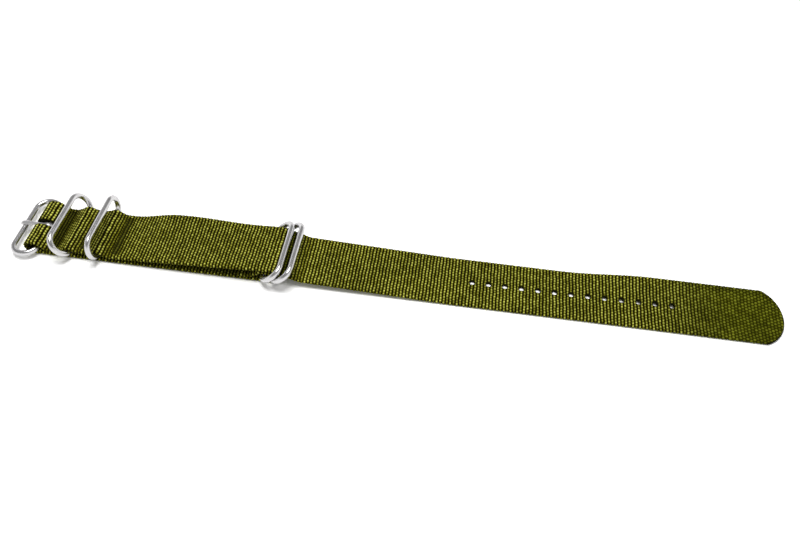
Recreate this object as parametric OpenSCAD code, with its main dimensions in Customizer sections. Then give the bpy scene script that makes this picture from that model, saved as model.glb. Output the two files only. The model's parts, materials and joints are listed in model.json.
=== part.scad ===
// Nylon watch strap: a long ribbed webbing strap with a buckle, two keeper rings and a row of sizing
// holes, and a short under-strap that carries two loop rings. X runs along the strap towards its tip,
// Y across its width and Z up from the table that it lies on.

/* [Webbing] */
// Width of both webbing straps
strap_w = 22; // [18:1:26]
// Thickness of the webbing
strap_t = 1.4; // [1.2:0.1:1.8]
// How much larger the tip's radius is than half the width
tip_flat = 1; // [0:0.5:4]
// Gap between the two webbings where they lie on each other
layer_gap = 0.2; // [0.1:0.05:0.4]
// Gap between the main strap and the loop fold that it crosses
pass_gap = 0.3; // [0.2:0.05:0.8]

/* [Sizing holes] */
// Diameter of a sizing hole
hole_d = 2; // [1.6:0.1:2.6]
// Distance from hole to hole
hole_pitch = 6; // [5:0.5:8]
// Number of sizing holes
hole_count = 13; // [8:1:16]
// Distance from the buckle bar to the first hole
first_hole_x = 160.3; // [150:0.1:190]
// Distance from the last hole to the tip
tip_margin = 39.5; // [36:0.5:60]

/* [Rings] */
// Diameter of the steel wire
wire_d = 2.2; // [1.8:0.1:2.5]
// Clear height inside a ring, between its two bars
ring_gap = 6.6; // [6:0.2:9]
// Clear space inside a ring beside each edge of the webbing
ring_clear = 1.3; // [1.1:0.1:3]
// Radius of a ring's round ends, to the middle of its wire
ring_corner = 4.2; // [2.4:0.1:4.3]
// Gap between the two loop rings, which lie side by side
loop_gap = 0.2; // [0.1:0.05:0.6]
// Clearance all round a bar in its webbing pocket
pocket_clear = 0.15; // [0.1:0.05:0.25]

/* [Places along the strap] */
// Distance from the buckle bar to the first keeper's bar
keeper_x = 12.4; // [11.4:0.1:18]
// Distance from the first keeper's bar to the second's
keeper_step = 10.5; // [10:0.5:16]
// Distance from the buckle bar to the first loop bar
loop_x = 84.7; // [70:0.1:90]
// Length of the under-strap that is turned back beyond the first loop bar
loop_tail = 9.5; // [9:0.5:16]
// Room in the buckle fold beyond its bar
fold_slack = 2.25; // [1:0.25:3]
// Distance that the main strap takes to drop behind the loop rings
drop_run = 10.7; // [10:0.1:14]

/* [Welds] */
// Width of a fused weld bar along the strap
weld_w = 2; // [1.4:0.1:2.4]
// Plain webbing left beside each end of a weld bar
weld_inset = 2; // [1:0.5:4]
// Depth that a weld bar is pressed in from each face
weld_dent = 0.25; // [0.1:0.05:0.4]

/* [Buckle tongue] */
// Width of the tongue
tongue_w = 1.7; // [1.4:0.1:1.9]
// Thickness of the tongue
tongue_t = 0.9; // [0.7:0.1:1]
// Running clearance of the tongue's eye on the buckle bar
eye_clear = 0.06; // [0.03:0.01:0.1]
// Clear space beside the tongue in its slot
slot_clear = 0.75; // [0.5:0.05:1.2]
// How far the tongue reaches past the middle of the buckle's outer bar
tongue_over = 1.7; // [1.5:0.1:3]

/* [Resting pose] */
// Lean of the buckle frame from upright, towards the tip
buckle_lean = -91; // [-95:1:-80]
// Lean of the first keeper ring
keeper_1_lean = -33; // [-60:1:10]
// Lean of the second keeper ring
keeper_2_lean = -4; // [-20:1:60]
// Lean of the two loop rings
loop_lean = 51; // [-20:1:52]

/* [Flex lines] */
// Distance between the first two flex lines
flex_lead = 30; // [20:1:34]
// Clearance in the rounded joint at a flex line
flex_gap = 0.1; // [0.05:0.01:0.15]

/* [Hidden] */

olive = [0.30, 0.34, 0.09];
fused_olive = [0.22, 0.26, 0.07];
steel = [0.74, 0.74, 0.76];
$fn = 48;
tip_faces = 96;                 // faces of the full circle that rounds the tip
arc_step = 10;                  // degrees from point to point round a webbing bend
through = 40;                   // a cut of this length passes right through any piece
cut_z = -1;                     // cuts that reach the table start this far below it
hair = 0.02;                    // overlap that keeps two joined shapes from merely touching

// Heights of the layers and of the ring bars
half_t = strap_t / 2;
wire_r = wire_d / 2;
low_z = half_t;                                     // middle of a webbing on the table
bar_z = strap_t + pocket_clear + wire_r;            // middle of every pocketed bar
top_z = strap_t + layer_gap + half_t;               // middle of a webbing that lies on another
over_r = wire_r + pocket_clear + half_t;            // bend round a bar, to the webbing's middle
pass_r = over_r + strap_t + pass_gap;               // bend of the main strap over the loop fold
valley_r = 1.5;                                     // bend where the webbing dips to a weld
drop_r = 5;                                         // bend where the main strap levels off
drop_rise = 1.9;                                    // how far above the table's layer it does so
drop_z = low_z + drop_rise;
knuckle_r = half_t - hair;                          // a hair inside both faces of the webbing

// Places along the strap, from the buckle bar
keeper_2_x = keeper_x + keeper_step;
loop_2_x = loop_x + (wire_d + loop_gap) / cos(loop_lean);
weld_1_x = keeper_x / 2;
weld_2_x = keeper_x + keeper_step / 2;
weld_3_x = keeper_2_x + keeper_x / 2;
tail_end_x = loop_x - loop_tail;
end_margin = 3;                                     // turned-back end to the middle of its weld
weld_4_x = tail_end_x + end_margin;
dip_room = 0.2;                                     // flat webbing beside a weld in its dip
weld_flat = weld_w / 2 + dip_room;                  // half of the flat dip that holds a weld
end_gap = 0.3;                                      // space between the two webbing ends under weld 1
last_hole_x = first_hole_x + (hole_count - 1) * hole_pitch;
tip_x = last_hole_x + tip_margin;
tip_r = strap_w / 2 + tip_flat;
land_x = first_hole_x - 1.5 * hole_pitch;           // where the main strap comes down to the table
drop_x = loop_2_x + drop_run;

// Ring and tongue
ring_h = ring_gap + wire_d;
ring_half = strap_w / 2 + ring_clear + wire_r;
end_flat = 0.2;                                     // least straight side between a ring's round ends
end_r = min(ring_corner, (ring_h - end_flat) / 2);
bar_half = ring_half - end_r;
outer_bar = ring_h * [sin(buckle_lean), cos(buckle_lean)];
eye_mid = wire_r + eye_clear + tongue_t / 2;
rest_gap = 0.05;                                    // the tongue rests just clear of the outer bar
tongue_rest = wire_r + rest_gap + tongue_t / 2;
tip_rise = 0.7;                                     // the tongue's tip above the outer bar's middle
sag_x = 0.52 * outer_bar.x;                         // where the tongue's hollow is
sag_z = 4.3;                                        // height of the middle of its bend
sag_r = 3;                                          // radius of that bend
slot_room = 0.5;                                    // slot left beyond the tongue's eye
slot_x = eye_mid + tongue_t / 2 + slot_room;
slot_w = tongue_w + 2 * slot_clear;

// The webbing's edges are thin round a bar, where the ring's round ends begin. The room for them is a
// cone round the bar, from press_y outwards, and wire_inside() is the distance from the bar's middle to
// the far side of the wire at a place across the strap.
function wire_inside(y) = end_r - sqrt(pow(end_r - wire_r, 2) - pow(y - bar_half, 2));
press_share = 0.4;                                  // of the webbing's overhang past the straight bar
press_y = bar_half + press_share * (strap_w / 2 - bar_half);
press_end = strap_w / 2 + 0.2;
press_step = 0.05;                                  // the cone starts this much wider than the pocket

// A belt path runs past a list of stations [x, z, r], where r is the bend's radius, positive where the
// path turns clockwise round it and negative where it turns the other way. The path starts where it
// leaves the first station and ends where it meets the last, which is the station itself if r is 0.
// heading() is the direction from one station to the next, between -90 and 270 degrees.
function heading(p, q) =
    let (d = [q.x - p.x, q.y - p.y], a = atan2(d.y, d.x) - asin((p.z - q.z) / norm(d)))
    a < -90 ? a + 360 : a;
function arc_angles(a, b) =
    let (steps = max(1, ceil(abs(b - a) / arc_step)))
    abs(b - a) < 0.01 ? [a] : [for (i = [0:steps]) a + (b - a) * i / steps];
function along(path, side) =
    let (last = len(path) - 1, h = [for (i = [0:last - 1]) heading(path[i], path[i + 1])])
    [for (i = [0:last])
        let (angles = arc_angles(h[max(0, i - 1)], h[min(last - 1, i)]))
        for (a = angles) [path[i].x, path[i].y] + (path[i].z + side) * [-sin(a), cos(a)]];
function reversed(list) = [for (i = [len(list) - 1:-1:0]) list[i]];
function band(path, half) = concat(along(path, half), reversed(along(path, -half)));

// A flat dip at height z that holds a weld, as two stations, the one on the path's near side first
function dip(x, z, r, dir = 1) = [[x - dir * weld_flat, z, r], [x + dir * weld_flat, z, r]];

dip_z = top_z + valley_r;
flex_1 = let (a = heading([drop_x, drop_z + drop_r, -drop_r], [land_x, low_z, 0]))
    [land_x - flex_lead, low_z - flex_lead * tan(a)];

main_path = concat(
    [[weld_1_x - end_gap / 2, low_z, 0], [-fold_slack, bar_z, over_r], [0, bar_z, over_r]],
    dip(weld_1_x, dip_z, -valley_r), [[keeper_x, bar_z, over_r]],
    dip(weld_2_x, dip_z, -valley_r), [[keeper_2_x, bar_z, over_r]],
    dip(weld_3_x, dip_z, -valley_r),
    [[loop_x, bar_z, pass_r], [loop_2_x, bar_z, pass_r], [drop_x, drop_z + drop_r, -drop_r]],
    [[flex_1.x, flex_1.y, 0]]
);
under_path = concat(
    [[weld_1_x + end_gap / 2, low_z, 0], [loop_2_x, bar_z, -over_r], [loop_x, bar_z, -over_r]],
    dip(weld_4_x, dip_z, valley_r, -1),
    [[tail_end_x, top_z, 0]]
);

// The tongue runs from its tip over the outer bar, sags between the bars and ends on its eye, a hair
// proud of it
tongue_path = [
    [outer_bar.x - tongue_over, outer_bar.y + tip_rise, 0],
    [outer_bar.x, outer_bar.y, tongue_rest],
    [sag_x, sag_z, -sag_r],
    [0, 0, eye_mid + hair],
];
tongue_outline = band(tongue_path, tongue_t / 2);
x_left = min([for (p = tongue_outline) p.x]);
x_mid = (x_left + tip_x) / 2;

// Flex lines: two ahead of the holes, two between holes and one beyond them
flex = [
    flex_1,
    [land_x, low_z],
    [first_hole_x + (round(hole_count / 3) - 0.5) * hole_pitch, low_z],
    [first_hole_x + (round(hole_count * 2 / 3) - 0.5) * hole_pitch, low_z],
    [last_hole_x + 1.5 * hole_pitch, low_z],
    [tip_x, low_z],
];

// Stands a side view, drawn in X and Z, up across the strap's width
module across(width) {
    rotate([90, 0, 0]) linear_extrude(height = width, center = true) children();
}

// The rounded edge of the webbing at a flex line, or the hollow that it turns in
module knuckle(r, width = strap_w) {
    rotate([90, 0, 0]) cylinder(r = r, h = width, center = true);
}

// Puts the origin in the middle of the whole part's length
module placed() {
    translate([-x_mid, 0, 0]) children();
}

// The hole that a weld bar fills, or the bar itself between two heights
module weld_block(x, z0, z1) {
    translate([x - weld_w / 2, -strap_w / 2 + weld_inset, z0])
        cube([weld_w, strap_w - 2 * weld_inset, z1 - z0]);
}

module weld_bar(x) {
    color(fused_olive) placed() weld_block(x, weld_dent, top_z + half_t - weld_dent);
}

// A closed wire ring that swings about its lower bar, which lies at x
module wire_ring(x, lean) {
    color(steel) placed() translate([x, 0, bar_z]) rotate([0, lean, 0]) {
        for (z = [0, ring_h])
            translate([0, 0, z]) rotate([90, 0, 0]) cylinder(r = wire_r, h = 2 * bar_half, center = true);
        for (side = [-1, 1])
            translate([0, side * ring_half, end_r])
                cylinder(r = wire_r, h = ring_h - 2 * end_r);
        for (corner = [0:3]) {
            y = corner < 2 ? bar_half : -bar_half;
            z = corner == 1 || corner == 2 ? ring_h - end_r : end_r;
            translate([0, y, z]) rotate([0, 90, 0]) rotate([0, 0, 90 * corner])
                rotate_extrude(angle = 90) translate([end_r, 0]) circle(r = wire_r);
        }
    }
}

// Room in the webbing's edges for the round ends of the ring whose bar lies at x
module end_room(x) {
    for (side = [-1, 1])
        translate([x, 0, bar_z]) rotate([side * 90, 0, 0]) translate([0, 0, press_y])
            cylinder(
                r1 = wire_r + pocket_clear + press_step,
                r2 = wire_inside(press_end) + pocket_clear,
                h = press_end - press_y
            );
}

module main_strap_seat() {
    color(olive) placed() difference() {
        union() {
            across(strap_w) polygon(band(main_path, half_t));
            translate([flex_1.x, 0, flex_1.y]) knuckle(knuckle_r);
        }
        for (x = [weld_1_x, weld_2_x, weld_3_x]) weld_block(x, cut_z, through);
        for (x = [0, keeper_x, keeper_2_x]) end_room(x);
        translate([-through, -slot_w / 2, cut_z]) cube([through + slot_x, slot_w, through]);
    }
}

module under_strap() {
    color(olive) placed() difference() {
        across(strap_w) polygon(band(under_path, half_t));
        for (x = [weld_1_x, weld_2_x, weld_3_x, weld_4_x]) weld_block(x, cut_z, through);
        for (x = [loop_x, loop_2_x]) end_room(x);
    }
}

// The free end of the main strap from flex line k to the next one, or to the tip
module tail_segment(k) {
    run = norm(flex[k + 1] - flex[k]);
    slope = atan2(flex[k + 1].y - flex[k].y, flex[k + 1].x - flex[k].x);
    is_tip = k == len(flex) - 2;
    color(olive) placed() translate([flex[k].x, 0, flex[k].y]) rotate([0, -slope, 0]) difference() {
        union() {
            translate([0, 0, -half_t]) linear_extrude(height = strap_t)
                intersection() {
                    translate([0, -strap_w / 2]) square([run, strap_w]);
                    if (is_tip) {
                        translate([run - tip_r, 0]) circle(r = tip_r, $fn = tip_faces);
                        translate([0, -strap_w]) square([run - tip_r, 2 * strap_w]);
                    } else {
                        square([3 * run, 3 * strap_w], center = true);
                    }
                }
            if (!is_tip) translate([run, 0, 0]) knuckle(knuckle_r);
        }
        knuckle(knuckle_r + flex_gap, 2 * strap_w);
        for (i = [0:hole_count - 1]) {
            x = first_hole_x + i * hole_pitch - flex[k].x;
            if (x > 0 && x < run) translate([x, 0, 0]) cylinder(d = hole_d, h = through, center = true);
        }
    }
}

module main_strap_tail_1() { tail_segment(0); }
module main_strap_tail_2() { tail_segment(1); }
module main_strap_tail_3() { tail_segment(2); }
module main_strap_tail_4() { tail_segment(3); }
module main_strap_tail_5() { tail_segment(4); }

module weld_buckle_fold() { weld_bar(weld_1_x); }
module weld_mid_keepers() { weld_bar(weld_2_x); }
module weld_watch_side() { weld_bar(weld_3_x); }
module weld_loop_fold() { weld_bar(weld_4_x); }

module buckle_frame() { wire_ring(0, buckle_lean); }
module keeper_ring_1() { wire_ring(keeper_x, keeper_1_lean); }
module keeper_ring_2() { wire_ring(keeper_2_x, keeper_2_lean); }
module loop_ring_1() { wire_ring(loop_x, loop_lean); }
module loop_ring_2() { wire_ring(loop_2_x, loop_lean); }

// The prong, with the eye that is rolled round the buckle bar
module buckle_tongue() {
    color(steel) placed() translate([0, 0, bar_z]) difference() {
        union() {
            across(tongue_w) polygon(tongue_outline);
            knuckle(eye_mid + tongue_t / 2, tongue_w);
        }
        knuckle(wire_r + eye_clear, 2 * tongue_w);
    }
}

main_strap_seat();
main_strap_tail_1();
main_strap_tail_2();
main_strap_tail_3();
main_strap_tail_4();
main_strap_tail_5();
under_strap();
weld_buckle_fold();
weld_mid_keepers();
weld_watch_side();
weld_loop_fold();
buckle_frame();
buckle_tongue();
keeper_ring_1();
keeper_ring_2();
loop_ring_1();
loop_ring_2();
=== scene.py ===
"""Looks of a ribbed nylon watch strap with steel wire rings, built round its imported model.

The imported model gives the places: the rings' bars and the flex lines are its joints' own points. The
sizes below are in millimetres, along x from the buckle bar, and the meshes are made in metres.
"""

import json
import logging
import math
from dataclasses import dataclass, field
from enum import Enum

import bmesh
import bpy
import numpy as np
from mathutils import Matrix, Vector


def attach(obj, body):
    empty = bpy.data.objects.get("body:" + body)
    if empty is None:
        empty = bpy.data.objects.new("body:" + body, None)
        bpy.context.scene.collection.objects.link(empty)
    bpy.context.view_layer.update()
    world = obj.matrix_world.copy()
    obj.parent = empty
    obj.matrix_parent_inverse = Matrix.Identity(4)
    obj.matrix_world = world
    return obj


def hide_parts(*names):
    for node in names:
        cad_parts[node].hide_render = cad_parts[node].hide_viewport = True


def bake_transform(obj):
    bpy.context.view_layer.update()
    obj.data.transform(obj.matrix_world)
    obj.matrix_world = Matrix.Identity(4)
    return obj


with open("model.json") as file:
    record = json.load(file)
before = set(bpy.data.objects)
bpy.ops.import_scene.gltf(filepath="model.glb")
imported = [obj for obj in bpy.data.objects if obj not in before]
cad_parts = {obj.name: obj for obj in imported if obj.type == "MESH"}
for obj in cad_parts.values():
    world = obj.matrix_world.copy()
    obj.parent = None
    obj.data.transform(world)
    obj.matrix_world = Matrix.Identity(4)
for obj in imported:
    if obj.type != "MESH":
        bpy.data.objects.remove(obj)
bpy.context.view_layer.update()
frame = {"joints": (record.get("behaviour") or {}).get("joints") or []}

Array = np.ndarray
Piece = bpy.types.Object
Material = bpy.types.Material

log = logging.getLogger("watch_strap")
MM = 0.001
# A length that is nothing here, and one that is past the end of any strap.
TINY = 1e-7
FAR_AWAY = 1e6
# What a pair of whole numbers is multiplied by to scatter it.
SCATTER = (12.9898, 78.233, 43758.5453)
TAILS = range(1, 6)
PINS = {joint["name"]: Vector(joint["pos_m"]) / MM for joint in frame["joints"]}
BUCKLE_BAR = PINS["buckle_swing"]


def from_buckle(joint: str) -> float:
    """Distance of a joint's pin from the buckle bar along x."""
    return PINS[joint].x - BUCKLE_BAR.x


def smoothstep(low: float, high: float, value: Array) -> Array:
    """0 below low, 1 above high, and the cubic 3 t t - 2 t t t between them."""
    t = np.clip((value - low) / (high - low), 0, 1)
    return t * t * (3 - 2 * t)


def scatter(a: Array, b: Array) -> Array:
    """A steady pseudo-random number from 0 to 1 for each pair of whole numbers."""
    return np.modf(np.abs(np.sin(a * SCATTER[0] + b * SCATTER[1]) * SCATTER[2]))[0]


@dataclass(frozen=True)
class Station:
    """A round that a middle line passes, with its centre and radius.

    The radius is positive where the line turns clockwise round it, seen with x to the right and z up,
    negative where it turns the other way, and 0 for a plain point.
    """

    x: float
    z: float
    r: float = 0.0


class BeltPath:
    """A middle line in the x-z plane: its stations' tangents in order, and the arcs between them."""

    samples = 40001

    def __init__(self, stations: list[Station]) -> None:
        """Lays the line.

        Args:
            stations: the rounds that it passes. It starts where it leaves the first and ends where it
                meets the last.
        """
        self._runs: list[tuple[float, float, float, float, float]] = []
        self.length = 0.0
        headings = [self._heading(p, q) for p, q in zip(stations, stations[1:])]
        for i, heading in enumerate(headings):
            p, q = stations[i], stations[i + 1]
            side = np.array([-math.sin(heading), math.cos(heading)])
            start = np.array([p.x, p.z]) + p.r * side
            end = np.array([q.x, q.z]) + q.r * side
            self._add(float(np.hypot(*(end - start))), start, heading, 0.0)
            if i + 1 < len(headings) and q.r:
                turn = headings[i + 1] - heading
                self._add(abs(turn * q.r), end, heading, -1.0 / q.r)

    def _add(self, length: float, start: Array, heading: float, bend: float) -> None:
        """Adds a run of constant bend."""
        self._runs.append((self.length, start[0], start[1], heading, bend))
        self.length += length

    @staticmethod
    def _heading(p: Station, q: Station) -> float:
        """Direction of the tangent between two stations.

        Args:
            p: the station that it leaves.
            q: the station that it meets.

        Returns:
            The direction between -90 and 270 degrees, in radians.
        """
        dx, dz, quarter = q.x - p.x, q.z - p.z, math.pi / 2
        angle = math.atan2(dz, dx) - math.asin((p.r - q.r) / math.hypot(dx, dz))
        return (angle + quarter) % math.tau - quarter

    def curl(self, radius: float, turn: float) -> None:
        """Goes on clockwise round a bar by turn radians at that radius."""
        point, heading, _ = self.at(np.array([self.length]))
        self._add(radius * turn, point[0], float(heading[0]), -1.0 / radius)

    def at(self, s: Array) -> tuple[Array, Array, Array]:
        """Places on the line.

        On a run of bend k that starts at heading h, the heading after t is h + k t, and the place is
        the integral of its cosine and sine.

        Args:
            s: distances along the line.

        Returns:
            The x and z of each place as a last axis, its heading in radians, and its bend, which is
            positive where the line turns anticlockwise.
        """
        starts, x0, z0, heading, bend = np.array(self._runs).T
        run = np.clip(np.searchsorted(starts, s, side="right") - 1, 0, len(starts) - 1)
        t, h, k = s - starts[run], heading[run], bend[run]
        turned = h + k * t
        straight = k == 0
        safe = np.where(straight, 1.0, k)
        x = np.where(straight, t * np.cos(h), (np.sin(turned) - np.sin(h)) / safe)
        z = np.where(straight, t * np.sin(h), (np.cos(h) - np.cos(turned)) / safe)
        return np.stack([x0[run] + x, z0[run] + z], -1), turned, k

    def nearest(self, x: float, z: float) -> float:
        """Distance along the line of its place nearest to a point."""
        s = np.linspace(0, self.length, self.samples)
        return float(s[np.argmin(np.linalg.norm(self.at(s)[0] - (x, z), axis=1))])


@dataclass(frozen=True)
class RibbedWeave:
    """A plain weave whose thick weft makes ribs across the strap, covered by the warp's yarns."""

    pitch: float = 1.2
    yarn_pitch: float = 1.2
    depth: float = 0.3
    dip: float = 0.33
    uneven: float = 0.2
    firm: float = 0.95
    wander: float = 0.05
    wander_across: float = 1.1
    wander_along: float = 0.35

    def arch(self, s: Array) -> Array:
        """0 in the grooves between ribs and 1 along their crests: |cos(pi s / pitch)|."""
        return np.abs(np.cos(math.pi * s / self.pitch))

    def height(self, s: Array, y: Array, back: bool = False, ribs: Array | float = 1.0) -> Array:
        """Height of the face between a groove's bottom, 0, and a yarn's crown, 1.

        The ribs' arches are multiplied by the yarns' crowns, a raised cosine across the strap that is
        shifted by half a yarn from rib to rib and from face to back. Each yarn stands a little
        differently. Where the ribs are flattened the yarns keep a firm share of their own relief.

        Args:
            s: distance along the strap from a rib's crest.
            y: place across the strap.
            back: whether this is the strap's back.
            ribs: how much of the ribs' own relief is left.

        Returns:
            The height at each place.
        """
        s = s + self.wander * np.sin(self.wander_across * y + self.wander_along * s)
        rib = np.round(s / self.pitch)
        phase = y / self.yarn_pitch + 0.5 * np.mod(rib + back, 2)
        crown = 0.5 + 0.5 * np.cos(2 * math.pi * phase)
        stand = 1 - self.uneven * scatter(rib, np.round(phase))
        arch = 1 - (1 - self.arch(s)) * ribs
        dip = self.dip * (self.firm + (1 - self.firm) * ribs)
        return arch * (1 - dip + dip * crown) * stand


@dataclass(frozen=True)
class Cut:
    """A rectangle cut out of the webbing, along and across it."""

    start: float
    end: float
    half_width: float


@dataclass(frozen=True)
class Press:
    """A ring's bar, whose round ends press the webbing's edges outwards.

    At a place across the strap the far side of the wire is at the round end's radius less the root of
    the squares' difference of that end's inside radius and the distance past the straight bar.
    """

    x: float
    z: float
    straight: float = 9.2
    end: float = 4.2
    wire: float = 1.1
    room: float = 0.12

    def reach(self, y: Array) -> Array:
        """Distance from the bar's middle that the webbing keeps, or 0 along the straight bar."""
        past = np.clip(np.abs(y) - self.straight, 0, self.end - self.wire)
        return (past > 0) * (self.end - np.sqrt((self.end - self.wire) ** 2 - past**2) + self.room)


@dataclass(frozen=True)
class Lift:
    """A stretch where the strap's far edge stands off the table, as worn webbing does.

    The rise grows with the square of the place across the strap, and from 0 at start to its height at
    full, and falls to 0 again from hold to end.
    """

    height: float
    start: float
    full: float
    hold: float = FAR_AWAY
    end: float = 2 * FAR_AWAY

    def rise(self, s: Array, share: Array) -> Array:
        """Height at each distance along the strap and share of the way to its far edge."""
        along = smoothstep(self.start, self.full, s) * (1 - smoothstep(self.hold, self.end, s))
        return self.height * along * share**2


def mesh_of(name: str, points: Array, quads: Array) -> Piece:
    """Makes a smooth-shaded mesh object at the origin.

    Args:
        name: the piece's name.
        points: places in millimetres from the buckle bar's x, one row each.
        quads: the four points of each face, anticlockwise from outside.

    Returns:
        The object, linked to the scene.
    """
    mesh = bpy.data.meshes.new(name)
    mesh.vertices.add(len(points))
    placed = (points + np.array([BUCKLE_BAR.x, 0, 0])) * MM
    mesh.vertices.foreach_set("co", placed.astype(np.float32).ravel())
    mesh.loops.add(quads.size)
    mesh.loops.foreach_set("vertex_index", quads.astype(np.int32).ravel())
    mesh.polygons.add(len(quads))
    mesh.polygons.foreach_set("loop_start", np.arange(0, quads.size, 4, dtype=np.int32))
    mesh.polygons.foreach_set("use_smooth", np.ones(len(quads), bool))
    mesh.update(calc_edges=True)
    mesh.validate()
    piece = bpy.data.objects.new(name, mesh)
    bpy.context.scene.collection.objects.link(piece)
    return piece


def grid_quads(rows: int, columns: int, wrap_rows: bool) -> Array:
    """The faces of a grid of points whose columns close on themselves.

    Args:
        rows: how many rows it has.
        columns: how many points a row has.
        wrap_rows: whether the last row joins the first.

    Returns:
        The four points of each face.
    """
    grid = np.arange(rows * columns).reshape(rows, columns)
    after, beside = np.roll(grid, -1, 0), np.roll(grid, -1, 1)
    quads = np.stack([grid, after, np.roll(after, -1, 1), beside], -1)
    return quads[:rows if wrap_rows else rows - 1].reshape(-1, 4)


def dressed(piece: Piece, material: Material, node: str) -> Piece:
    """Gives a piece its material, and hides the CAD node that it replaces.

    Args:
        piece: the piece.
        material: its material.
        node: the CAD node that the piece replaces.

    Returns:
        The piece.
    """
    piece.data.materials.clear()
    piece.data.materials.append(material)
    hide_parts(node)
    log.info("%s: %d points", piece.name, len(piece.data.vertices))
    return piece


@dataclass(frozen=True)
class Shell:
    """Two faces of a sheet over one grid, with the cells that are left and what its material reads."""

    face: Array
    back: Array
    kept: Array
    along: Array
    across: Array
    weave_face: Array
    weave_back: Array
    sealed: Array
    # Real wear towards the tip, and painted shade between the loop rings and along the edges.
    worn_and_shaded: Array

    def mesh(self, name: str) -> Piece:
        """Makes the closed mesh: both faces, and a wall along every edge of the kept cells.

        Args:
            name: the piece's name.

        Returns:
            The piece, with point attributes weave, sealed, and one for real wear with painted shade,
            and a UV map in millimetres.
        """
        rows, columns = self.along.shape
        top = np.arange(rows * columns).reshape(rows, columns)
        low = top + rows * columns
        i, j = np.nonzero(self.kept)
        faces = [
            np.stack([top[i, j], top[i + 1, j], top[i + 1, j + 1], top[i, j + 1]], -1),
            np.stack([low[i, j], low[i, j + 1], low[i + 1, j + 1], low[i + 1, j]], -1),
        ]
        padded = np.pad(self.kept, 1)
        ahead, behind = padded[1:, 1:-1], padded[:-1, 1:-1]
        after, before = padded[1:-1, 1:], padded[1:-1, :-1]
        walls = (
            (ahead & ~behind, (0, 0), (0, 1)),
            (behind & ~ahead, (0, 1), (0, 0)),
            (after & ~before, (1, 0), (0, 0)),
            (before & ~after, (0, 0), (1, 0)),
        )
        for bare, first, second in walls:
            i, j = np.nonzero(bare)
            p, q = (i + first[0], j + first[1]), (i + second[0], j + second[1])
            faces.append(np.stack([top[p], top[q], low[q], low[p]], -1))
        used, index = np.unique(np.concatenate(faces), return_inverse=True)

        def both(face: Array, back: Array) -> Array:
            """A quantity of the two faces' points, for the points that are used."""
            return np.concatenate([side.reshape(rows * columns, -1) for side in (face, back)])[used]

        piece = mesh_of(name, both(self.face, self.back), index.reshape(-1, 4))
        fields = {
            "weave": both(self.weave_face, self.weave_back),
            "sealed": both(self.sealed, self.sealed),
            "worn_and_shaded": both(self.worn_and_shaded, self.worn_and_shaded),
        }
        for key, values in fields.items():
            attribute = piece.data.attributes.new(key, "FLOAT", "POINT")
            attribute.data.foreach_set("value", values.astype(np.float32).ravel())
        flat = np.stack([self.along, self.across], -1)
        corners = np.zeros(len(piece.data.loops), np.int32)
        piece.data.loops.foreach_get("vertex_index", corners)
        layer = piece.data.uv_layers.new(name="cloth")
        layer.uv.foreach_set("vector", both(flat, flat)[corners].astype(np.float32).ravel())
        return piece


@dataclass(frozen=True)
class TipArc:
    """The round end of a strap: a circle on its middle line that cuts both edges."""

    centre: float
    radius: float

    def half_width(self, s: Array) -> Array:
        """Half the chord of the circle at a distance along the strap."""
        return np.sqrt(np.maximum(self.radius**2 - (s - self.centre) ** 2, 0))


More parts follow.
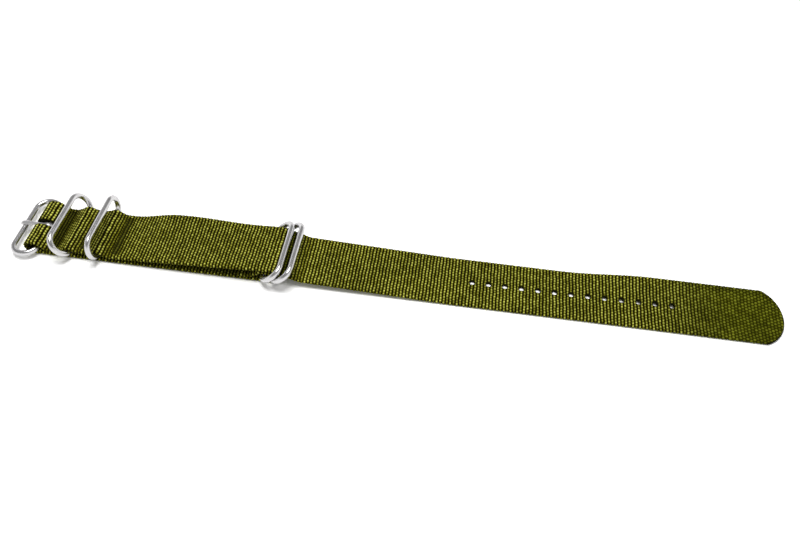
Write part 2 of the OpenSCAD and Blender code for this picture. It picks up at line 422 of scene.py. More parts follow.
@dataclass
class Webbing:
    """A ribbed webbing along a path, with its holes and cuts."""

    path: BeltPath
    crest: float
    width: float = 22.0
    thickness: float = 1.4
    step: float = 0.2
    edge: float = 0.55
    edge_rows: int = 6
    rim_share: float = 0.98
    scallop: float = 0.13
    scallop_reach: float = 1.8
    weave: RibbedWeave = field(default_factory=RibbedWeave)
    groove_open: float = 1.3
    open_range: tuple[float, float] = (0.4, 1.5)
    mid_level: float = 0.6
    melt_flat: float = 0.45
    bend_shade: float = 0.35
    far_face: float = 0.5
    holes: list[float] = field(default_factory=list)
    hole_radius: float = 1.0
    square_share: float = 0.8
    square_reach: float = 2.2
    hole_melt: float = 0.4
    cut_melt: float = 0.35
    tip_melt: float = 0.5
    cuts: list[Cut] = field(default_factory=list)
    tip: TipArc = TipArc(FAR_AWAY, FAR_AWAY)
    tip_lines: int = 56
    tip_last: float = 1.5
    bars: list[Press] = field(default_factory=list)
    lifts: list[Lift] = field(default_factory=list)
    wear: float = 1.0
    wear_start: float = 0.0
    wear_full: float = 12.0
    # Painted shade: the stretch between the loop rings' bars is darkened as if in their shadow.
    ring_shaded: tuple[float, float] = (-FAR_AWAY, -FAR_AWAY)
    ring_shade_fade: float = 0.6
    edge_shade: float = 0.4

    def piece(self, name: str, start: float, end: float) -> Piece:
        """Makes the stretch between two distances along the path.

        Each point lies on the path, moved across by its y and off the path's side by half the
        thickness, less the weave's grooves, and rounded down to the edges. Grooves open on the outside
        of a bend and close on its inside.

        Args:
            name: the piece's name.
            start: distance of its first end along the path.
            end: distance of its other end, or of the tip.

        Returns:
            The closed mesh.
        """
        lines = self._lines(start, end)
        s, y = np.meshgrid(lines, self._columns(), indexing="ij")
        outer = self.width / 2
        half = self._half_width(lines)[:, None]
        inset = np.sign(y) * (outer - half) * smoothstep(outer - self.scallop_reach, outer, np.abs(y))
        y = np.where(s > self._tip_start(), y * half / outer, y - inset)
        kept = self._kept(s, y)
        s, y = self._round_holes(s, y)
        from_rim = 1 - np.clip(self._from_edge(s, y, half) / self.edge, 0, 1)
        rim = np.sqrt(1 - self.rim_share * from_rim**2)
        sealed, worn, bend = self._sealed(s, y), self._worn(s), self._bend(s)
        places, heading, _ = self.path.at(s)
        normal = np.stack([-np.sin(heading), np.cos(heading)], -1)
        share = np.clip(y / self.width + 0.5, 0, 1)
        rise = sum((lift.rise(s, share) for lift in self.lifts), np.zeros(s.shape))
        sides, levels = [], []
        for sign, back in ((1, False), (-1, True)):
            opened = np.clip(1 - self.groove_open * sign * bend, *self.open_range)
            height = self.weave.height(s - self.crest, y, back, worn)
            level = np.clip(self.mid_level + (height - self.mid_level) * opened, 0, 1)
            level = level * (1 - self.melt_flat * sealed)
            off = rim * (self.thickness / 2 - self.weave.depth * (1 - level))
            moved = places + self._pressed(places, normal, y, sign)[..., None] * normal
            side = moved + sign * off[..., None] * normal
            sides.append(np.stack([side[..., 0], y, np.maximum(side[..., 1], 0) + rise], -1))
            levels.append(np.clip(level - self.bend_shade * np.clip(sign * bend, 0, 1), 0, 1))
        # Real wear towards the tip, plus painted shade between the loop rings and painted shade along
        # the edges' side walls.
        worn_and_shaded = np.maximum(np.maximum(1 - worn**3, self._ring_shade(s)), self.edge_shade * (1 - rim))
        return Shell(*sides, kept, s, y, *levels, sealed, worn_and_shaded).mesh(name)

    def _worn(self, s: Array) -> Array:
        """How much of the ribs' relief is left, which falls smoothly to its least near the tip."""
        return 1 - (1 - self.wear) * smoothstep(self.wear_start, self.path.length - self.wear_full, s)

    def _ring_shade(self, s: Array) -> Array:
        """1 along the stretch between the loop rings where shade is painted, and 0 a little way past
        its ends.
        """
        (start, end), fade = self.ring_shaded, self.ring_shade_fade
        return smoothstep(start - fade, start, s) * (1 - smoothstep(end, end + fade, s))

    def _pressed(self, places: Array, normal: Array, y: Array, sign: int) -> Array:
        """How far each point of a face gives way to the rings' round ends.

        The face on a bar's side moves off until it clears the wire, and the other face half as far.

        Args:
            places: the path's places.
            normal: its left side there.
            y: places across the strap.
            sign: 1 for the face and -1 for the back.

        Returns:
            The distance along the normal.
        """
        shift = np.zeros(y.shape)
        for bar in self.bars:
            out = places - np.array([bar.x, bar.z])
            away = np.sign((out * normal).sum(-1))
            free = np.hypot(out[..., 0], out[..., 1]) - self.thickness / 2
            over = np.clip(bar.reach(y) - free, 0, None)
            shift += away * over * np.where(away == sign, self.far_face, 1.0)
        return shift

    def _tip_start(self) -> float:
        """Distance along the path where the round tip cuts the edges."""
        return self.tip.centre + math.sqrt(self.tip.radius**2 - (self.width / 2) ** 2)

    def _lines(self, start: float, end: float) -> Array:
        """The grid's lines across: even steps from a crest, the ends, the cuts' edges and a fine tip.

        Args:
            start: distance of the stretch's first end.
            end: distance of its other end.

        Returns:
            The lines' distances along the path, in order.
        """
        plain_end = min(end, self._tip_start())
        first = math.ceil((start - self.crest) / self.step)
        last = math.floor((plain_end - self.crest) / self.step)
        even = self.crest + self.step * np.arange(first, last + 1)
        edges = [x for cut in self.cuts for x in (cut.start, cut.end) if start < x < plain_end]
        fixed = np.array([start, plain_end, *edges])
        clear = np.abs(even[:, None] - fixed[None, :]).min(axis=1) > self.step / 3
        lines = np.sort(np.concatenate([even[clear], fixed]))
        if end > plain_end:
            widest = math.asin(self.width / 2 / self.tip.radius)
            angles = np.linspace(widest, math.radians(self.tip_last), self.tip_lines)[1:]
            lines = np.concatenate([lines, self.tip.centre + self.tip.radius * np.cos(angles)])
        return lines

    def _columns(self) -> Array:
        """The grid's lines along: even steps, and finer ones that close in on the rounded edges.

        Returns:
            The lines' places across the strap, in order.
        """
        count = round((self.width / 2 - self.edge) / self.step)
        even = self.step * np.arange(-count, count + 1)
        last = self.width / 2 - self.step * count
        close = last * (1 - np.cos(np.linspace(0, math.pi / 2, self.edge_rows + 1)))[:-1]
        rim = self.width / 2 - close
        return np.concatenate([-rim, even, rim[::-1]])

    def _half_width(self, s: Array) -> Array:
        """Half the width, with the weft's small loops along the edges, and the tip's arc."""
        half = self.width / 2 - self.scallop * (1 - self.weave.arch(s - self.crest))
        return np.where(s > self._tip_start(), self.tip.half_width(s), half)

    def _from_edge(self, s: Array, y: Array, half: Array) -> Array:
        """How far in from the outline each point lies.

        Args:
            s: distances along the path.
            y: places across it.
            half: half the width there.

        Returns:
            The distance from the nearest edge.
        """
        straight = np.where(s > self._tip_start(), self.width / 2, half) - np.abs(y)
        round_end = self.tip.radius - np.hypot(np.maximum(s - self.tip.centre, 0), y)
        past = s > self.tip.centre
        return np.maximum(np.where(past, np.minimum(straight, round_end), straight), 0)

    def _kept(self, s: Array, y: Array) -> Array:
        """Sorts out the cells that are neither in a hole's square nor in a cut.

        Args:
            s: distances along the path.
            y: places across it.

        Returns:
            Whether each cell is kept.
        """
        mid_s, mid_y = ((grid[:-1, :-1] + grid[1:, 1:]) / 2 for grid in (s, y))
        kept = np.ones(mid_s.shape, bool)
        for hole in self.holes:
            kept &= np.maximum(np.abs(mid_s - hole), np.abs(mid_y)) > self._square()
        for cut in self.cuts:
            kept &= ~((mid_s > cut.start) & (mid_s < cut.end) & (np.abs(mid_y) < cut.half_width))
        return kept

    def _square(self) -> float:
        """Half the side of the square of cells that a hole takes."""
        return self.step * round(self.square_share * self.hole_radius / self.step)

    def _round_holes(self, s: Array, y: Array) -> tuple[Array, Array]:
        """Moves the grid's lines round each hole.

        The square of cells there becomes the hole's circle, the squares round it become rounder
        squares, and past square_reach times its size nothing moves.

        Args:
            s: distances along the path.
            y: places across it.

        Returns:
            The moved s and y.
        """
        inner = self._square()
        outer = self.square_reach * inner
        for hole in self.holes:
            ds = s - hole
            size = np.maximum(np.abs(ds), np.abs(y))
            near = (size < outer) & (size > inner / 2)
            circle = (self.hole_radius + size - inner) / np.maximum(np.hypot(ds, y), TINY)
            t = np.clip((size - inner) / (outer - inner), 0, 1)
            factor = np.where(near, circle * (1 - t) + t, 1)
            s, y = hole + ds * factor, y * factor
        return s, y

    def _sealed(self, s: Array, y: Array) -> Array:
        """How far the yarn is melted: round the holes, along the cuts and at the cut tip.

        Args:
            s: distances along the path.
            y: places across it.

        Returns:
            From 0, loose yarn, to 1 along the melted rims.
        """
        gaps = [(np.hypot(s - hole, y) - self.hole_radius) / self.hole_melt for hole in self.holes]
        for cut in self.cuts:
            out_s = np.maximum(np.maximum(cut.start - s, s - cut.end), 0)
            out_y = np.maximum(np.abs(y) - cut.half_width, 0)
            gaps.append(np.hypot(out_s, out_y) / self.cut_melt)
        gap = (self.tip.radius - np.hypot(s - self.tip.centre, y)) / self.tip_melt
        gaps.append(np.where(s > self.tip.centre, gap, 1))
        return 1 - smoothstep(0.0, 1.0, np.min(gaps, axis=0))

    def _bend(self, s: Array) -> Array:
        """The path's bend, evened out over a rib on each side.

        Args:
            s: distances along the path.

        Returns:
            The bend at each.
        """
        rib, end = self.weave.pitch, self.path.length
        ahead, behind = (self.path.at(np.clip(s + off, 0, end))[1] for off in (rib, -rib))
        return (ahead - behind) / (2 * rib)


@dataclass(frozen=True)
class Layers:
    """Heights and bends that the two webbings share, as they lie on the table."""

    thickness: float = 1.4
    gap: float = 0.2
    bar_z: float = BUCKLE_BAR.z
    over_bar: float = 1.95
    over_fold: float = 3.65
    valley: float = 1.5
    weld_half: float = 1.0
    weld_room: float = 0.2
    weld_width: float = 18.0

    @property
    def low(self) -> float:
        """Height of the middle of a webbing on the table."""
        return self.thickness / 2

    @property
    def top(self) -> float:
        """Height of the middle of a webbing that lies on another."""
        return self.thickness * 1.5 + self.gap

    def dip(self, x: float, side: int = 1, soften: float = 0.0, rise: float = 0.0) -> list[Station]:
        """The two stations of the flat dip that holds a weld, the near one first.

        Args:
            x: middle of the weld.
            side: 1 where the line comes from the buckle, and -1 where it goes back to it.
            soften: how much wider than usual the dip's bends are.
            rise: how far the dip stays above the layer below.

        Returns:
            The stations.
        """
        reach = side * (self.weld_half + self.weld_room)
        bend = self.valley + soften
        return [Station(x + place, self.top + rise + bend, -side * bend) for place in (-reach, reach)]


@dataclass
class WeldBar:
    """A fused bar through both webbings, whose top and bottom carry the ribs on, flattened."""

    name: str
    x: float
    raised: float = 0.0
    layers: Layers = field(default_factory=Layers)
    clear: float = 0.02
    dent: float = 0.25
    relief: float = 0.25
    mid_level: float = 0.6
    lines: int = 17
    columns: int = 151
    shade: float = 0.15
    shade_ribs: float = 0.7
    melted: float = 0.35

    def piece(self, webbing: Webbing) -> Piece:
        """Makes the block.

        Its faces lie half its thickness off its middle, less a dent, and follow the weave's height
        about the middle level.

        Args:
            webbing: the webbing that its top lies in.

        Returns:
            The piece.
        """
        of = self.layers
        length, width = of.weld_half - self.clear, of.weld_width / 2 - self.clear
        lines = np.linspace(-length, length, self.lines)
        columns = np.linspace(-width, width, self.columns)
        along, across = np.meshgrid(lines, columns, indexing="ij")
        start = webbing.path.nearest(self.x, of.top) - webbing.crest
        ribs = webbing.weave.height(start + along, across)
        middle = of.thickness + of.gap / 2
        off = middle - self.dent + self.relief * (ribs - self.mid_level)
        face = np.stack([self.x + along, across, middle + off + self.raised], -1)
        back = np.stack([self.x + along, across, middle - off], -1)
        kept = np.ones((self.lines - 1, self.columns - 1), bool)
        level = self.shade + self.shade_ribs * ribs
        melted, worn_and_shaded = np.full(level.shape, self.melted), np.zeros(level.shape)
        shell = Shell(face, back, kept, start + along, across, level, level, melted, worn_and_shaded)
        return shell.mesh(self.name + "_bar")


@dataclass
class Strap:
    """The two webbings and the welds that join them."""

    layers: Layers = field(default_factory=Layers)
    fold_slack: float = 1.6
    fold_bend: float = 2.35
    fold_lift: float = 0.5
    end_gap: float = 0.3
    drop_run: float = 10.7
    drop_bend: float = 5.0
    drop_rise: float = 1.9
    land_bend: float = 60.0
    first_hole: float = 160.3
    hole_pitch: float = 6.0
    hole_count: int = 13
    tip_margin: float = 39.5
    tip_radius: float = 12.0
    slot_half: float = 1.15
    slot_top: tuple[float, float] = (3.0, 3.6)
    slot_low: float = 2.56
    loop_tail: float = 9.5
    end_margin: float = 3.0
    seat_start: tuple[float, float] = (52.0, 4.6)
    joint_reach: float = 12.0
    wear: float = 0.35
    wear_from: float = 9.5
    soft_dip: float = 3.0
    mid_rise: float = 1.2
    watch_rise: float = 0.4
    seat_lift: float = 2.4
    seat_lift_run: tuple[float, ...] = (31.0, 48.0, 50.0, 80.0)
    tip_lift: float = 2.6
    tip_lift_run: tuple[float, float] = (32.0, 66.0)
    # Where the painted shade between the loop rings starts and ends, measured past each ring's pin.
    ring_shade_from: float = 6.6
    ring_shade_to: float = 6.0
    under_crest: float = 0.6
    under_step: float = 0.3
    under_edge_rows: int = 4

    def __post_init__(self) -> None:
        """Works out where the rings, welds and flex lines are."""
        self.keeper_1, self.keeper_2, self.loop_1, self.loop_2 = (
            from_buckle(name + "_swing") for name in ("keeper_1", "keeper_2", "loop_1", "loop_2")
        )
        self.flex = [PINS[f"tail_flex_{i}"] - Vector((BUCKLE_BAR.x, 0, 0)) for i in TAILS]
        half_step = self.keeper_1 / 2
        self.fold_weld = WeldBar("weld_buckle_fold", half_step)
        self.mid_weld = WeldBar("weld_mid_keepers", (self.keeper_1 + self.keeper_2) / 2, self.mid_rise)
        self.watch_weld = WeldBar("weld_watch_side", self.keeper_2 + half_step, self.watch_rise)
        self.loop_weld = WeldBar("weld_loop_fold", self.loop_1 - self.loop_tail + self.end_margin)
        self.tip_x = self.first_hole + (self.hole_count - 1) * self.hole_pitch + self.tip_margin

    def main_webbing(self) -> Webbing:
        """Lays the long webbing, from its end under the first weld round the buckle to the tip.

        Returns:
            The webbing, with all that cuts, presses, lifts and wears it, and the stretch between the
            loop rings where shade is painted.
        """
        of = self.layers
        welds = self.fold_weld.x, self.mid_weld.x, self.watch_weld.x
        bend, land = self.land_bend, self.flex[1]
        slope = math.atan2(self.flex[0].z - land.z, land.x - self.flex[0].x)
        drop_z = of.low + self.drop_rise + self.drop_bend
        path = BeltPath([
            Station(welds[0] - self.end_gap / 2, of.low),
            Station(-self.fold_slack, of.bar_z + self.fold_lift, self.fold_bend),
            Station(0, of.bar_z + self.fold_lift, self.fold_bend),
            *of.dip(welds[0]),
            Station(self.keeper_1, of.bar_z, of.over_bar),
            *of.dip(welds[1], rise=self.mid_rise),
            Station(self.keeper_2, of.bar_z, of.over_bar),
            *of.dip(welds[2], soften=self.soft_dip, rise=self.watch_rise),
            Station(self.loop_1, of.bar_z, of.over_fold),
            Station(self.loop_2, of.bar_z, of.over_fold),
            Station(self.loop_2 + self.drop_run, drop_z, -self.drop_bend),
            Station(land.x + bend * math.tan(slope / 2), of.low + bend, -bend),
            Station(self.tip_x, of.low),
        ])
        first = path.length - (self.tip_x - self.first_hole)
        cuts = [self._weld_cut(path, x, of.top) for x in welds]
        cuts.append(self._weld_cut(path, welds[0], of.low))
        slot = path.nearest(self.slot_low, of.low), path.nearest(*self.slot_top)
        cuts.append(Cut(*slot, self.slot_half))
        seat_run = (path.nearest(x, of.low) for x in self.seat_lift_run)
        # The stretch between the loop rings' bars that gets painted shade.
        ring_shaded = self.loop_1 + self.ring_shade_from, self.loop_2 + self.ring_shade_to
        return Webbing(
            path,
            first,
            holes=[first + i * self.hole_pitch for i in range(self.hole_count)],
            cuts=cuts,
            tip=TipArc(path.length - self.tip_radius, self.tip_radius),
            bars=[Press(x, of.bar_z) for x in (0, self.keeper_1, self.keeper_2)],
            lifts=[
                Lift(self.seat_lift, *seat_run),
                Lift(self.tip_lift, *(first + x for x in self.tip_lift_run)),
            ],
            wear=self.wear,
            wear_start=first + self.wear_from * self.hole_pitch,
            ring_shaded=tuple(path.nearest(x, of.bar_z + of.over_fold) for x in ring_shaded),
        )

    def under_webbing(self) -> Webbing:
        """Lays the short webbing, from the first weld round the loop rings' bars and back.

        Returns:
            The webbing, with its cuts.
        """
        of = self.layers
        path = BeltPath([
            Station(self.fold_weld.x + self.end_gap / 2, of.low),
            Station(self.loop_2, of.bar_z, -of.over_bar),
            Station(self.loop_1, of.bar_z, -of.over_bar),
            *of.dip(self.loop_weld.x, -1),
            Station(self.loop_1 - self.loop_tail, of.top),
        ])
        welds = self.fold_weld, self.mid_weld, self.watch_weld, self.loop_weld
        cuts = [self._weld_cut(path, weld.x, of.low) for weld in welds]
        cuts.append(self._weld_cut(path, self.loop_weld.x, of.top))
        bars = [Press(x, of.bar_z) for x in (self.loop_1, self.loop_2)]
        size = {"step": self.under_step, "edge_rows": self.under_edge_rows}
        return Webbing(path, self.under_crest, cuts=cuts, bars=bars, **size)

    def _weld_cut(self, path: BeltPath, x: float, z: float) -> Cut:
        """The hole that a weld fills in a webbing whose middle is at height z there."""
        start, end = sorted(path.nearest(x + side * self.layers.weld_half, z) for side in (-1, 1))
        return Cut(start, end, self.layers.weld_width / 2)

    def build(self, cloth: Material, fused: Material) -> None:
        """Makes both webbings and the welds, dressed. The buckle end, the under webbing and the welds
        ride the strap; the stretches along the tail stay where they are made.

        Args:
            cloth: the webbing's material.
            fused: the welds' material.
        """
        main, under = self.main_webbing(), self.under_webbing()
        seat = main.path.nearest(*self.seat_start)
        ends = [main.path.nearest(flex.x + self.joint_reach, flex.z) for flex in self.flex[:-1]]
        piece = main.piece("webbing_buckle_end", 0.0, seat)
        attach(dressed(piece, cloth, "main_strap_seat"), "strap")
        bodies = ["strap"] + [f"tail_{i}" for i in TAILS]
        names = ["webbing_watch_seat", *(f"webbing_tail_{i}" for i in TAILS[:3]), "webbing_tip"]
        bounds = [seat, *ends, main.path.length]
        for i, (name, flex) in enumerate(zip(names, self.flex)):
            piece = main.piece(name, bounds[i], bounds[i + 1])
            dressed(piece, cloth, f"main_strap_tail_{i + 1}")
            bodies[i + 1]
            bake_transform(piece)
        piece = under.piece("webbing_under_strap", 0.0, under.path.length)
        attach(dressed(piece, cloth, "under_strap"), "strap")
        for weld, webbing in (
            (self.fold_weld, main),
            (self.mid_weld, main),
            (self.watch_weld, main),
            (self.loop_weld, under),
        ):
            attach(dressed(weld.piece(webbing), fused, weld.name), "strap")


@dataclass
class WireRing:
    """A closed ring of round wire that swings about its lower bar."""

    name: str
    joint: str
    body: str
    lean: float
    wire: float = 1.1
    half: float = 13.4
    height: float = 8.8
    corner: float = 4.2
    corner_steps: int = 20
    wire_steps: int = 28

    def build(self, steel: Material) -> None:
        """Sweeps the wire round its four corners and dresses it.

        The middle line is a rounded rectangle across the strap, four quarter circles joined by straight
        lines, and each of its points carries a circle that stands square to it.

        Args:
            steel: the wire's material.
        """
        across, low, high = self.half - self.corner, self.corner, self.height - self.corner
        centres = np.array([[across, high], [-across, high], [-across, low], [across, low]])
        quarter = np.linspace(0, 90, self.corner_steps)
        angle = np.radians(90 * np.arange(4)[:, None] + quarter).ravel()
        ray = np.stack([np.cos(angle), np.sin(angle)], -1)
        line = np.repeat(centres, self.corner_steps, axis=0) + self.corner * ray
        section = np.linspace(0, 2 * math.pi, self.wire_steps, endpoint=False)
        flat = line[:, None, :] + self.wire * np.cos(section)[None, :, None] * ray[:, None, :]
        y, up = flat[..., 0], flat[..., 1]
        proud = np.broadcast_to(self.wire * np.sin(section), y.shape)
        cos, sin = math.cos(math.radians(self.lean)), math.sin(math.radians(self.lean))
        x = proud * cos + up * sin + from_buckle(self.joint)
        z = up * cos - proud * sin + PINS[self.joint].z
        quads = grid_quads(len(line), self.wire_steps, wrap_rows=True)
        piece = mesh_of(self.name + "_wire", np.stack([x, y, z], -1).reshape(-1, 3), quads)
        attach(dressed(piece, steel, self.name), self.body)


@dataclass
class Tongue:
    """The buckle's prong: a flat wire that is rolled round the buckle bar."""

    thickness: float = 0.9
    half_width: float = 0.95
    shank: float = 0.7
    eye: float = 1.95
    over: float = 1.4
    rest: float = 1.6
    tip_rise: float = 0.95
    tip_length: float = 0.8
    tip_first: float = 0.01
    tip_share: float = 0.02
    tip_thin: float = 0.35
    tip_steps: int = 12
    waist_from: float = 3.2
    waist_full: float = 6.0
    waist_fade: float = 1.5
    waist_thin: float = 0.12
    roundness: float = 0.75
    sag_share: float = 0.52
    sag_z: float = 4.6
    sag_bend: float = 3.0
    lean: float = -91.0
    ring_height: float = 8.8
    roll: float = 300.0
    steps: int = 150
    section_steps: int = 24

    def build(self, steel: Material) -> None:
        """Sweeps a rounded rectangle from the tip over the outer bar and round the eye.

        The section is a superellipse: the cosine and sine to the power of its roundness, with their
        signs. It narrows between the outer bar and the eye, and closes at the tip as a quarter circle
        does. The closed ends' doubled points are merged.

        Args:
            steel: the tongue's material.
        """
        lean = math.radians(self.lean)
        bar_x, bar_z = self.ring_height * math.sin(lean), self.ring_height * math.cos(lean)
        path = BeltPath([
            Station(bar_x - self.over, bar_z + self.tip_rise),
            Station(bar_x, bar_z, self.rest),
            Station(self.sag_share * bar_x, self.sag_z, -self.sag_bend),
            Station(0, 0, self.eye),
        ])
        shank_end = path.length
        path.curl(self.eye, math.radians(self.roll))
        fine = np.linspace(self.tip_first, self.tip_length, self.tip_steps)
        s = np.sort(np.concatenate([np.linspace(0, path.length, self.steps), fine]))
        places, heading, _ = path.at(s)
        near_tip = np.sqrt(1 - (1 - np.clip(s / self.tip_length, self.tip_share, 1)) ** 2)
        waist = smoothstep(self.waist_from, self.waist_full, s)
        waist = waist * (1 - smoothstep(shank_end - self.waist_fade, shank_end, s))
        wide = (self.half_width - (self.half_width - self.shank) * waist) * near_tip
        thick = self.thickness / 2 * (self.tip_thin + (1 - self.tip_thin) * near_tip)
        thick = thick * (1 - self.waist_thin * waist)
        angle = np.linspace(0, 2 * math.pi, self.section_steps, endpoint=False)
        across, off = (np.sign(t) * np.abs(t) ** self.roundness for t in (np.cos(angle), np.sin(angle)))
        normal = np.stack([-np.sin(heading), np.cos(heading)], -1)
        side = places[:, None, :] + (thick[:, None] * off[None, :])[..., None] * normal[:, None, :]
        y = wide[:, None] * across[None, :]
        points = np.stack([side[..., 0], y, side[..., 1] + BUCKLE_BAR.z], -1)
        caps = [np.broadcast_to(row.mean(0), points[:1].shape) for row in (points[0], points[-1])]
        rings = np.concatenate([caps[0], points, caps[1]])
        quads = grid_quads(len(rings), self.section_steps, wrap_rows=False)[:, ::-1]
        piece = mesh_of("buckle_tongue_prong", rings.reshape(-1, 3), quads)
        merged = bmesh.new()
        merged.from_mesh(piece.data)
        bmesh.ops.remove_doubles(merged, verts=merged.verts, dist=TINY)
        bmesh.ops.recalc_face_normals(merged, faces=merged.faces)
        merged.to_mesh(piece.data)
        merged.free()
        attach(dressed(piece, steel, "buckle_tongue"), "tongue")


class Value:
    """A socket's number, on which Python's operators add Math nodes."""

    def __init__(self, finish: "NodeFinish", socket: bpy.types.NodeSocket) -> None:
        """Wraps a socket of a finish's tree."""
        self.finish = finish
        self.socket = socket

    def _with(self, operation: str, first: object, second: object) -> "Value":
        """The Math node of two values or numbers."""
        return self.finish.value("Math", {0: first, 1: second}, operation=operation)

    def __add__(self, other: object) -> "Value":
        """Sum."""
        return self._with("ADD", self, other)

    def __mul__(self, other: object) -> "Value":
        """Product."""
        return self._with("MULTIPLY", self, other)

    def __sub__(self, other: object) -> "Value":
        """Difference."""
        return self._with("SUBTRACT", self, other)

    def __rsub__(self, other: object) -> "Value":
        """Difference from a number."""
        return self._with("SUBTRACT", other, self)

    __radd__ = __add__
    __rmul__ = __mul__


class NodeFinish:
    """The node tree of a material or world, with one method that adds any node."""

    def __init__(self, owner: Material | bpy.types.World) -> None:
        """Empties the tree.

        Args:
            owner: the material or world.
        """
        owner.use_nodes = True
        self.owner = owner
        self.tree = owner.node_tree
        self.tree.nodes.clear()

    def node(self, kind: str, inputs: dict | None = None, **settings: object) -> bpy.types.Node:
        """Adds a node.

        Args:
            kind: the node's type, after the words that all shader nodes' types begin with.
            inputs: a number, colour, Value or output socket for each socket named or numbered.
            settings: its own settings, and stops for a ramp's, as (place, colour) pairs.

        Returns:
            The node.
        """
        made = self.tree.nodes.new("ShaderNode" + kind)
        for i, (place, colour) in enumerate(settings.pop("stops", [])):
            elements = made.color_ramp.elements
            element = elements[i] if i < len(elements) else elements.new(place)
            element.position = place
            element.color = (*colour, 1.0)
        for key, setting in settings.items():
            setattr(made, key, setting)
        for key, given in (inputs or {}).items():
            source = given.socket if isinstance(given, Value) else given
            if isinstance(source, bpy.types.NodeSocket):
                self.tree.links.new(source, made.inputs[key])
            else:
                made.inputs[key].default_value = source
        return made

    def value(
        self, kind: str, inputs: dict | None = None, output: int | str = 0, **settings: object
    ) -> Value:
        """Adds a node and wraps one of its outputs."""
        return Value(self, self.node(kind, inputs, **settings).outputs[output])

    def blend(self, factor: object, first: object, second: object, mode: str = "MIX") -> Value:
        """Mixes two colours: sockets 0, 6 and 7 of a Mix node are its factor and its colours."""
        inputs = {0: factor, 6: first, 7: second}
        return self.value("Mix", inputs, 2, data_type="RGBA", blend_type=mode)

    def noise(self, place: object, scale: float, detail: float = 2.0, rough: float = 0.5) -> Value:
        """A noise pattern from 0 to 1."""
        inputs = {"Vector": place, "Scale": scale, "Detail": detail, "Roughness": rough}
        return self.value("TexNoise", inputs)

    def surface(self, inputs: dict) -> Material:
        """Finishes the material with one principled surface.

        Args:
            inputs: a number, colour, Value or output socket for each of its sockets.

        Returns:
            The material.
        """
        self.node("OutputMaterial", {"Surface": self.value("BsdfPrincipled", inputs)})
        return self.owner


def grey(level: float) -> tuple[float, float, float, float]:
    """A neutral colour."""
    return (level, level, level, 1.0)


@dataclass(frozen=True)
class WebbingFinish:
    """Olive nylon yarn with fine filaments, with painted shade in the grooves and a painted highlight
    on the yarns' crowns.
    """

    # The ramp's colours: the groove and flank colours are painted shade, body is the yarn's own olive,
    # and crown is a painted highlight.
    groove: tuple = (0.0012, 0.0009, 0.0001)
    flank: tuple = (0.007, 0.0055, 0.0003)
    body: tuple = (0.132, 0.130, 0.005)
    crown: tuple = (0.62, 0.64, 0.13)
    stops: tuple = (0.0, 0.38, 0.66, 0.96)
    brown: tuple = (0.17, 0.12, 0.012, 1.0)
    melted: tuple = (0.020, 0.021, 0.002, 1.0)
    # Multiplied in where the tip is worn, and as painted shade between the loop rings and along the
    # edges.
    wear_and_shade_colour: tuple = (0.165, 0.18, 0.034, 1.0)
    roughness: float = 0.52
    specular: float = 0.02
    filaments: tuple = (0.9, 11.0, 1.0)
    filament_shade: float = 0.3
    filament_rough: float = 0.2
    filament_bump: float = 0.5
    filament_height: float = 0.00004
    tint_scale: float = 260.0
    brown_from: float = 0.45
    brown_gain: float = 1.2
    tint_gain: float = 4.0
    tint_share: float = 0.35
    tint_worn_shaded: float = 0.5
    patch_scale: float = 70.0
    patch_range: tuple = (0.72, 1.28)
    melt_share: float = 0.75
    melt_smooth: float = 0.12

    def make(self, name: str) -> Material:
        """Builds the nodes.

        Args:
            name: the material's name.

        Returns:
            The material.
        """
        f = NodeFinish(bpy.data.materials.new(name))
        weave, sealed, worn_and_shaded = (
            f.value("Attribute", output="Fac", attribute_name=key)
            for key in ("weave", "sealed", "worn_and_shaded")
        )
        uv = f.value("UVMap", uv_map="cloth")
        place = f.value("TexCoord", output="Object")
        along = f.value("Mapping", {"Vector": uv, "Scale": self.filaments})
        filament = f.noise(along, 1.0)
        patch = f.noise(place, self.patch_scale)
        tint = f.noise(place, self.tint_scale)
        stops = list(zip(self.stops, (self.groove, self.flank, self.body, self.crown)))
        level = weave + (filament - 0.5) * self.filament_shade
        # The weave's level turns into painted shade in the grooves and a painted highlight on the
        # crowns.
        ramp = f.value("ValToRGB", {"Fac": level}, stops=stops)
        warm = f.blend((tint - self.brown_from) * self.brown_gain, ramp, self.brown, "MULTIPLY")
        tinted = f.blend(1.0, warm, grey(self.tint_gain), "MULTIPLY")
        colour = f.blend(tint * (self.tint_share + worn_and_shaded * self.tint_worn_shaded), ramp, tinted)
        patches = f.blend(patch, grey(self.patch_range[0]), grey(self.patch_range[1]))
        colour = f.blend(1.0, colour, patches, "MULTIPLY")
        # Darker where the tip is worn, and painted shade where the mesh marks it between the loop rings
        # and along the edges.
        colour = f.blend(worn_and_shaded, colour, f.blend(1.0, colour, self.wear_and_shade_colour, "MULTIPLY"))
        colour = f.blend(sealed * self.melt_share, colour, self.melted)
        relief = {"Strength": self.filament_bump, "Distance": self.filament_height, "Height": filament}
        smooth = self.roughness - sealed * self.melt_smooth
        return f.surface({
            "Base Color": colour,
            "Roughness": smooth + (filament - 0.5) * self.filament_rough,
            "Normal": f.value("Bump", relief),
            "Specular IOR Level": self.specular,
        })


class Polish(Enum):
    """How finely the steel is polished, as its roughness."""

    FINE = 0.25
    COARSE = 0.36


